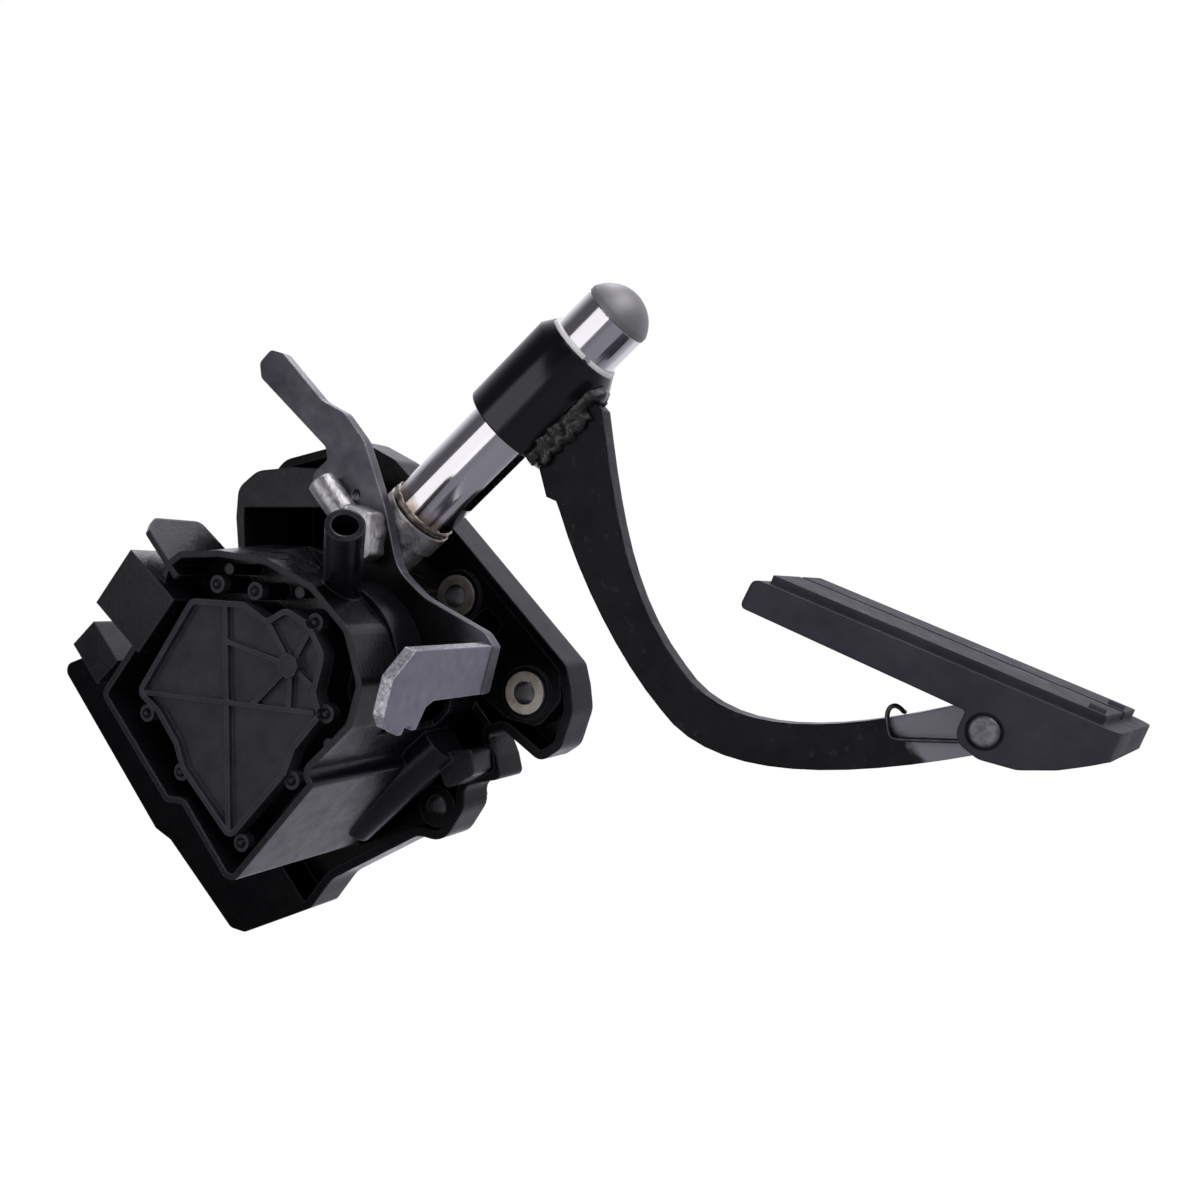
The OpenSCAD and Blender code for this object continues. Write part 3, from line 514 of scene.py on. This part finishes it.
def new_piece(name, bm, body, *replaced, sharp=35):
    """Turns a bmesh into a piece that rides on a body and stands for its nodes."""
    mesh = bpy.data.meshes.new(name)
    bm.to_mesh(mesh)
    bm.free()
    mesh.shade_smooth()
    mesh.set_sharp_from_angle(angle=math.radians(sharp))
    piece = bpy.data.objects.new(name, mesh)
    bpy.context.scene.collection.objects.link(piece)
    return carry(piece, body, replaced)


def about_tube(x, r, a):
    """A place x along the tube's axis, r away from it and turned by a."""
    return at(x, r * math.sin(a), r * math.cos(a))


def turned(profile, steps=128, put=about_tube, start=0, stop=360):
    """A closed profile of places along an axis and radii, turned about that axis."""
    bm = bmesh.new()
    rings = []
    whole = stop - start == 360
    for i in range(steps if whole else steps + 1):
        a = math.radians(start + (stop - start) * i / steps)
        rings.append([bm.verts.new(put(x, r, a)) for x, r in profile])
    count = len(profile)
    if not whole:
        bm.faces.new(rings[0])
        bm.faces.new(reversed(rings[-1]))
    for i in range(steps):
        here, there = rings[i], rings[(i + 1) % len(rings)]
        for k in range(count):
            m = (k + 1) % count
            if profile[k][1] > 0 or profile[m][1] > 0:
                bm.faces.new((here[k], here[m], there[m], there[k]))
    bmesh.ops.remove_doubles(bm, verts=bm.verts, dist=1e-6)
    bmesh.ops.recalc_face_normals(bm, faces=bm.faces)
    return bm


def fillet(x, r, size, start, stop, steps=5):
    """Points on an arc of that size, centred at that place, between two angles."""
    return [
        (x + size * math.cos(math.radians(start + (stop - start) * i / steps)),
         r + size * math.sin(math.radians(start + (stop - start) * i / steps)))
        for i in range(steps + 1)
    ]


def cut_box(piece, low, high, sharp=35):
    """Cuts a box out of a piece, given by two corners in millimetres."""
    block = bmesh.new()
    bmesh.ops.create_cube(block, size=1.0)
    a, b = at(*low), at(*high)
    for v in block.verts:
        v.co = Vector([(a[i] + b[i]) / 2 + v.co[i] * (b[i] - a[i]) for i in range(3)])
    mesh = bpy.data.meshes.new("cutter")
    block.to_mesh(mesh)
    block.free()
    cutter = bpy.data.objects.new("cutter", mesh)
    bpy.context.scene.collection.objects.link(cutter)
    cut = piece.modifiers.new("cut", "BOOLEAN")
    cut.operation = "DIFFERENCE"
    cut.object = cutter
    bake(piece, sharp)
    bpy.data.objects.remove(cutter)


tube_from, tube_to, tube_r, bore_r, lip = -16, 64, 10, 7.8, 0.4
tube = new_piece("guide_tube", turned(
    [(tube_from, bore_r), (tube_from, tube_r)]
    + fillet(tube_to - lip, tube_r - lip, lip, 90, 0)
    + [(tube_to, bore_r)], steps=160), "lever", "guide_rod")
slot_half, slot_from, slot_to = 2.5, tube_from + 10, tube_from + 66
cut_box(tube, (slot_from, -slot_half, -2 * tube_r), (slot_to, slot_half, 0))

chrome, tree, shader, place = new_finish(
    "chrome plate, polished", "#b9b8b6", 0.08, metallic=1.0)
burnt_to, bright_from = 0.0155, 0.0205
along = add_node(tree, "ShaderNodeSeparateXYZ", links={0: place}).outputs[0]
tint = add_node(tree, "ShaderNodeMapRange", {"interpolation_type": "SMOOTHSTEP"}, {
    "Value": add_node(tree, "ShaderNodeMath", {"operation": "ADD"}, {
        0: along, 1: mottle(tree, place, 5, -0.0015, 0.0015),
    }).outputs[0],
    "From Min": burnt_to, "From Max": bright_from, "To Min": 0.8, "To Max": 0.0,
}).outputs[0]
two_tone(tree, shader, tint, "#e2e0e0", "#86694c")
drawn = add_node(tree, "ShaderNodeMapping", links={"Vector": place, "Scale": (0.06, 1, 1)})
tree.links.new(mottle(tree, drawn.outputs[0], 2.2, 0.07, 0.2), shader.inputs["Roughness"])
finish(tube, chrome)

# The tube's end is closed by a turned steel plug, pressed in and finished to a
# shallow dome. It is satin and faintly mottled.
stem, collar, dome_from, dome_h, dome_steps = 6, 1.4, tube_to + 2, 6, 14
dome_rim = tube_r - 0.3
dome_r = (dome_rim ** 2 + dome_h ** 2) / (2 * dome_h)
dome_half = math.asin(dome_rim / dome_r)
dome = []
for i in range(dome_steps + 1):
    a = dome_half * (1 - i / dome_steps)
    dome.append((dome_from + dome_h - dome_r * (1 - math.cos(a)), dome_r * math.sin(a)))
plug = new_piece("tube_plug", turned(
    [(tube_to - stem, 0), (tube_to - stem, bore_r), (tube_to, bore_r), (tube_to, tube_r),
     (tube_to + collar, tube_r)] + dome), "lever", "rod_plug")
satin, tree, shader, place = new_finish("steel, turned", "#8a8987", 0.56, metallic=0.7)
two_tone(tree, shader, mottle(tree, place, 6, 0, 1), "#828180", "#929190")
tree.links.new(mottle(tree, place, 3, 0.5, 0.62), shader.inputs["Roughness"])
finish(plug, satin)

# The black sleeve is turned from tube, blacked and oiled to a gloss, with a
# broad chamfer at the pad's end.
sleeve_from, sleeve_to, sleeve_r, sleeve_bore = 19.5, 51, 13.5, 10.5
bush_r, bush_len, corner = 11.1, 9, 0.6
chamfer_len, chamfer_in, end_edge, end_r = 3.2, 1.8, 0.3, 11.5
rear_seat, front_seat = sleeve_from + bush_len, sleeve_to - bush_len
sleeve = new_piece("arm_sleeve_turned", turned(
    [(rear_seat, bush_r), (sleeve_from, bush_r), (sleeve_from, sleeve_r - corner)]
    + fillet(sleeve_from + corner, sleeve_r - corner, corner, 180, 90)
    + [(sleeve_to - chamfer_len, sleeve_r), (sleeve_to - end_edge, sleeve_r - chamfer_in),
       (sleeve_to, end_r), (sleeve_to, bush_r), (front_seat, bush_r),
       (front_seat, sleeve_bore), (rear_seat, sleeve_bore)], steps=160),
    "carriage", "arm_sleeve")
oiled, tree, shader, place = new_finish("steel, blacked and oiled", "#070709", 0.2, gloss=0.5)
two_tone(tree, shader, mottle(tree, place, 8, 0, 1), "#050507", "#0a0a0d")
turning = add_node(tree, "ShaderNodeMapping", links={"Vector": place, "Scale": (0.1, 1, 1)})
tree.links.new(mottle(tree, turning.outputs[0], 3, 0.13, 0.22), shader.inputs["Roughness"])
finish(sleeve, oiled)

# Two split bushes of white acetal carry the sleeve on the tube, and the drive
# nut inside is moulded in cream acetal. Both have its soft, waxy gloss.
play, bush_lip, bush_edge, split_at, split_half = 0.05, 1.2, 0.3, 230, 5.4
acetal, tree, shader, place = new_finish("acetal, white", "#e6e5e0", 0.38)
two_tone(tree, shader, mottle(tree, place, 4, 0, 1), "#deddd6", "#ecebe7")
tree.links.new(mottle(tree, place, 3, 0.3, 0.44), shader.inputs["Roughness"])
for name, x0, x1 in (("sleeve_bush_front", front_seat, sleeve_to + bush_lip),
                     ("sleeve_bush_rear", sleeve_from, rear_seat)):
    bush = new_piece(name + "_split", turned(
        fillet(x0 + bush_edge, bush_r - bush_edge, bush_edge, 180, 90)
        + fillet(x1 - bush_edge, bush_r - bush_edge, bush_edge, 90, 0)
        + [(x1, tube_r + play), (x0, tube_r + play)],
        steps=120, start=split_at + split_half, stop=split_at + 360 - split_half),
        "carriage", name)
    finish(bush, acetal)

cream, tree, shader, place = new_finish("acetal, natural", "#d6d1bf", 0.4)
two_tone(tree, shader, mottle(tree, place, 4, 0, 1), "#ccc6b2", "#dcd8c8")
finish(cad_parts["drive_nut"], cream)

# The lead screw runs inside the tube, ground bright. Its rolled thread is a
# ridge wound round the core.
core_r, collar_r, tip_r = 3.4, 6, 2.8
screw_from, collar_from, collar_to, screw_to = -30, -7, -4, tube_to - 10
thread_from, thread_pitch, thread_turns, thread_crest = -1, 3.0, 17.5, 0.55
winding, given = plan(
    "wound wire", ("Turns", "Float"), ("Radius", "Float"), ("Length", "Float"),
    ("Wire", "Float"), ("Start", "Vector"), ("Turn", "Rotation"))
helix = add_node(winding, "GeometryNodeCurveSpiral", links={
    "Resolution": 40, "Rotations": given["Turns"], "Start Radius": given["Radius"],
    "End Radius": given["Radius"], "Height": given["Length"],
})
round_wire = add_node(winding, "GeometryNodeCurvePrimitiveCircle", links={
    "Resolution": 10, "Radius": given["Wire"],
})
wound = add_node(winding, "GeometryNodeCurveToMesh", links={
    "Curve": helix.outputs[0], "Profile Curve": round_wire.outputs[0], "Fill Caps": True,
})
placed = add_node(winding, "GeometryNodeTransform", links={
    "Geometry": wound.outputs[0], "Translation": given["Start"], "Rotation": given["Turn"],
})
both = add_node(winding, "GeometryNodeJoinGeometry", links={0: placed.outputs[0]})
winding.links.new(given["Shape"], both.inputs[0])
close_plan(winding, given, both.outputs[0])
core = new_piece("screw_core", turned(
    [(screw_from, 0), (screw_from, core_r), (collar_from, core_r), (collar_from, collar_r),
     (collar_to, collar_r), (collar_to, core_r), (screw_to - 0.8, core_r), (screw_to, tip_r),
     (screw_to, 0)], steps=64), "screw", "lead_screw")
finish(core, ground)
thread = grown("screw_thread", winding, {
    "Finish": ground, "Turns": thread_turns, "Radius": core_r / 1000,
    "Length": thread_pitch * thread_turns / 1000, "Wire": thread_crest / 1000,
    "Start": at(thread_from, 0, 0), "Turn": (0, math.radians(90), 0),
}, [], [], "screw")

# The arm is blanked from 5.5 mm plate. Its black electrocoat is semi-gloss and
# has rubbed grey along the edges. The end that holds the hinge pin is painted a
# lighter grey, as painted light on the joggled end.
primer, tree, shader, place = new_finish(
    "electrocoat on steel plate", "#100f12", 0.34, gloss=0.1)
rounded_normal = soft_edges(tree, shader, 0.9, mottle(tree, place, 2.4, 0, 1), 0.05)
black = two_tone(tree, shader, mottle(tree, place, 12, 0, 1), "#0b0a0d", "#17161a")
toward_pad = add_node(tree, "ShaderNodeSeparateXYZ", links={0: place}).outputs[0]
# Painted light: toward the pad the arm's colour turns a lighter grey.
end_light_from, end_light_full = 0.0835, 0.0865
painted_end_light = add_node(tree, "ShaderNodeMapRange", {"interpolation_type": "SMOOTHSTEP"}, {
    "Value": add_node(tree, "ShaderNodeMath", {"operation": "ADD"}, {
        0: toward_pad, 1: mottle(tree, place, 6, -0.0015, 0.0015),
    }).outputs[0],
    "From Min": end_light_from, "From Max": end_light_full, "To Min": 0.0, "To Max": 1.0,
})
scuffs = add_node(tree, "ShaderNodeMix", {"data_type": "RGBA", "clamp_factor": True}, {
    0: mottle(tree, place, 4, -1.6, 0.5, detail=6), 6: black, 7: tone("#3c3b40"),
})
scuffs_and_end_light = add_node(tree, "ShaderNodeMix", {"data_type": "RGBA"}, {
    0: painted_end_light.outputs[0], 6: scuffs.outputs[2], 7: tone("#8c8a90"),
})
patchy = add_node(tree, "ShaderNodeMath", {"operation": "MULTIPLY"}, {
    0: edge_wear(tree, rounded_normal, 0.6), 1: mottle(tree, place, 5, -0.5, 1.0),
})
rubbed = add_node(tree, "ShaderNodeMix", {"data_type": "RGBA", "clamp_factor": True}, {
    0: patchy.outputs[0], 6: scuffs_and_end_light.outputs[2], 7: tone("#504e4c"),
})
tree.links.new(rubbed.outputs[2], shader.inputs["Base Color"])
tree.links.new(mottle(tree, place, 7, 0.24, 0.42), shader.inputs["Roughness"])
finish(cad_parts["pedal_arm"], primer)

# Beads of weld hold the arm to the sleeve and the tube to the gear housing.
# Each is laid along its joint and is lumpy from the puddles. The arm's is painted
# over, and the tube's is tinted by the heat.
beads, given = plan("weld bead", ("Radius", "Float"), ("Lump", "Float"), ("Lump Size", "Float"))
joint = add_node(beads, "GeometryNodeMeshToCurve", links={"Mesh": given["Shape"]})
puddle = add_node(beads, "GeometryNodeCurvePrimitiveCircle", links={
    "Resolution": 20, "Radius": given["Radius"],
})
laid = add_node(beads, "GeometryNodeCurveToMesh", links={
    "Curve": joint.outputs[0], "Profile Curve": puddle.outputs[0], "Fill Caps": True,
})
lumps = add_node(beads, "ShaderNodeTexNoise", {"noise_dimensions": "3D"}, {
    "Scale": add_node(beads, "ShaderNodeMath", {"operation": "DIVIDE"}, {
        0: 1.0, 1: given["Lump Size"],
    }).outputs[0], "Detail": 2.0,
})
swell = add_node(beads, "ShaderNodeMath", {"operation": "MULTIPLY"}, {
    0: add_node(beads, "ShaderNodeMath", {"operation": "SUBTRACT"}, {
        0: lumps.outputs[0], 1: 0.5,
    }).outputs[0], 1: given["Lump"],
})
pushed = add_node(beads, "GeometryNodeSetPosition", links={
    "Geometry": laid.outputs[0],
    "Offset": add_node(beads, "ShaderNodeVectorMath", {"operation": "SCALE"}, {
        0: add_node(beads, "GeometryNodeInputNormal").outputs[0], "Scale": swell.outputs[0],
    }).outputs[0],
})
close_plan(beads, given, pushed.outputs[0])

bead, tree, shader, place = new_finish("weld bead, painted over", "#161515", 0.22, gloss=0.6)
two_tone(tree, shader, mottle(tree, place, 2.2, 0, 1), "#0e0e0e", "#2c2926")
soft_edges(tree, shader, 0.2, mottle(tree, place, 0.9, 0, 1), 0.12)
burnt, tree, shader, place = new_finish("weld bead, heat tinted", "#857a70", 0.3, metallic=0.9)
two_tone(tree, shader, mottle(tree, place, 3.5, 0, 1), "#5d5046", "#b3aca4")
soft_edges(tree, shader, 0.2, mottle(tree, place, 0.9, 0, 1), 0.1)

# The first pass runs round the arm, just over the sleeve's surface. Each stretch
# of it is given by the x and y of both ends and its count of steps.
over_sleeve = 13.9
loop = []
for x0, y0, x1, y1, count in ((21.5, -3.7, 45, -3.7, 40), (46.2, -2.4, 46.2, 2.4, 8),
                              (45, 3.7, 21.5, 3.7, 40), (20.8, 2.4, 20.8, -2.4, 8)):
    for i in range(count + 1):
        x, y = x0 + (x1 - x0) * i / count, y0 + (y1 - y0) * i / count
        loop.append(at(x, y, -math.sqrt(over_sleeve ** 2 - y * y)))
ends = [(i, (i + 1) % len(loop)) for i in range(len(loop))]
# A shorter second pass is laid over each side of the arm, and it wavers a little.
second_from, second_len, second_steps, second_z, waver = 23, 19, 30, -15.9, 0.7
for side in (-3.1, 3.1):
    first = len(loop)
    loop += [at(second_from + second_len * i / second_steps, side,
                second_z - waver * math.sin(i * 0.9)) for i in range(second_steps + 1)]
    ends += [(i, i + 1) for i in range(first, len(loop) - 1)]
arm_bead = grown("arm_bead", beads, {
    "Finish": bead, "Radius": 0.0021, "Lump": 0.005, "Lump Size": 0.0042,
}, loop, ends, "carriage", "arm_weld", sharp=180)
root_x, root_r, root_steps = -16.9, 9.3, 90
ring = [about_tube(root_x, root_r, 2 * math.pi * i / root_steps) for i in range(root_steps)]
ends = [(i, (i + 1) % len(ring)) for i in range(len(ring))]
root_bead = grown("root_bead", beads, {
    "Finish": burnt, "Radius": 0.0013, "Lump": 0.0016, "Lump Size": 0.0022,
}, ring, ends, "lever", "rod_weld", sharp=180)

# The pad is moulded in a satin elastomer with a fine grain, and two broad
# ridges run down its face.
pad_skin, tree, shader, place = new_finish("elastomer, moulded", "#37363b", 0.6, gloss=0.1)
two_tone(tree, shader, mottle(tree, place, 16, 0, 1), "#323136", "#414046")
tree.links.new(mottle(tree, place, 5, 0.5, 0.66), shader.inputs["Roughness"])
soft_edges(tree, shader, 0.9, mottle(tree, place, 0.9, 0, 1), 0.03)
finish(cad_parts["pad"], pad_skin)

# The hinge pin is a headed steel pin, phosphated grey. Its head lies in the
# pad's recess, with the edge rounded over and the face scuffed.
pin_x, pin_z, pin_r, pad_half = 73.6, -147.0, 2.75, 26.5
head_y, head_depth, head_edge = -pad_half + 1.2, 1.8, 0.7


def about_pin(y, r, a):
    """A place y along the pin's axis, r away from it and turned by a."""
    return at(pin_x + r * math.sin(a), y, pin_z + r * math.cos(a))


pin = new_piece("headed_pin", turned(
    [(pad_half + 0.5, 0), (pad_half + 0.5, 2.2), (pad_half, pin_r), (head_y, pin_r),
     (head_y, pin_r + head_edge)]
    + [(head_y - head_depth + head_edge * (1 - math.sin(a)), pin_r + head_edge * math.cos(a))
       for a in (0, 0.4, 0.8, 1.2, 1.57)]
    + [(head_y - head_depth, 2.4), (head_y - head_depth, 0)], steps=72, put=about_pin),
    "carriage", "pad_pin")
headed, tree, shader, place = new_finish("steel pin, phosphated", "#77767a", 0.4, metallic=0.5)
two_tone(tree, shader, mottle(tree, place, 2, 0, 1), "#504f53", "#7e7d81")
soft_edges(tree, shader, 0.4, mottle(tree, place, 1.4, 0, 1), 0.03)
finish(pin, headed)

# The pad's spring is one piece of 1.2 mm wire: a leg under the pad, a coil round
# the pin, and a tall loop that hooks over the arm's edge.
pad_angle, wire_r = math.radians(62.2), 0.6


def on_pad(u, w, y):
    """A place u down the pad from its pin and w out of its face."""
    return (pin_x + u * math.cos(pad_angle) + w * math.sin(pad_angle), y,
            pin_z - u * math.sin(pad_angle) + w * math.cos(pad_angle))


coil_r, coil_pitch, coil_from, coil_to, coil_y, coil_steps = 4.3, 1.4, 27.8, -850, -11, 80
corners = [on_pad(-26, 4, coil_y), on_pad(-17, coil_r, coil_y), on_pad(-8, coil_r, coil_y)]
for i in range(coil_steps + 1):
    a = math.radians(coil_from + (coil_to - coil_from) * i / coil_steps)
    corners.append((pin_x + coil_r * math.cos(a),
                    coil_y + coil_pitch * (math.radians(coil_from) - a) / (2 * math.pi),
                    pin_z + coil_r * math.sin(a)))
corners += [(60.9, -5.8, -142.6), (53.2, -4.5, -136.6), (51.5, -4.2, -135.1),
            (51.2, -4.1, -133.9), (53, -4, -130.8), (54.4, -3.9, -129.2),
            (55.8, -3.8, -128.6), (57.1, -3.6, -129.1), (57.4, -2.7, -130.5),
            (57.1, -1.2, -131.3), (56.9, 0.8, -131.4)]
path = [at(*c) for c in corners]
# Each round cuts the corners off the path, which leaves smooth bends.
for _ in range(3):
    cut = [path[0]]
    for a, b in zip(path, path[1:]):
        cut += [a.lerp(b, 0.25), a.lerp(b, 0.75)]
    path = cut + [path[-1]]
bent, given = plan("bent wire", ("Wire", "Float"))
line = add_node(bent, "GeometryNodeMeshToCurve", links={"Mesh": given["Shape"]})
section = add_node(bent, "GeometryNodeCurvePrimitiveCircle", links={
    "Resolution": 12, "Radius": given["Wire"],
})
swept = add_node(bent, "GeometryNodeCurveToMesh", links={
    "Curve": line.outputs[0], "Profile Curve": section.outputs[0], "Fill Caps": True,
})
close_plan(bent, given, swept.outputs[0])
wire = grown("pad_wire", bent, {"Finish": spring_steel, "Wire": wire_r / 1000}, path,
             [(i, i + 1) for i in range(len(path) - 1)], "carriage", "pad_spring", sharp=60)
